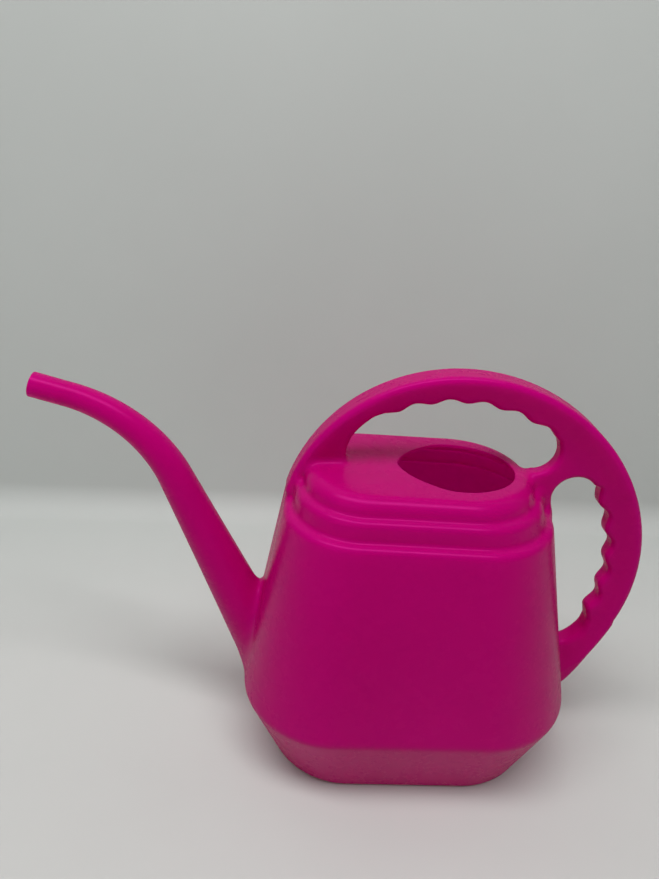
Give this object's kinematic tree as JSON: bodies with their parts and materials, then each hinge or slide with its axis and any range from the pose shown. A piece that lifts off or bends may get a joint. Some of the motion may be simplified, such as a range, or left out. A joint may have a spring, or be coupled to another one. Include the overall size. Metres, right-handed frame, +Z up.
{
  "type": "watering can",
  "caption": "Blow-moulded plastic watering can with a stepped top, oval filler mouth, long curved spout, hoop handle and finger-grooved grips.",
  "frame": {"origin": "middle of the flat base, on the surface that the can stands on", "axes": "+Z up, +X towards the handle, so the spout points along -X; the XZ plane is the can's mirror plane"},
  "size_m": [0.3802, 0.158, 0.2714],
  "materials": {
    "shell": "satin magenta polyethylene",
    "shell_lower": "satin magenta polyethylene",
    "handle": "satin magenta polyethylene"
  },
  "bodies": {
    "root": {"base_floor": "shell_lower", "base_pan": "shell_lower", "tank_wall": "shell", "lower_step": "shell", "upper_step": "shell", "filler_deck": "shell", "spout_root": "shell", "spout_tube": "shell", "spout_tip": "shell", "handle_front_leg": "handle", "top_grip": "handle", "handle_shoulder": "handle", "handle_bridge": "handle", "rear_grip": "handle", "handle_foot": "handle"}
  },
  "joints": []
}
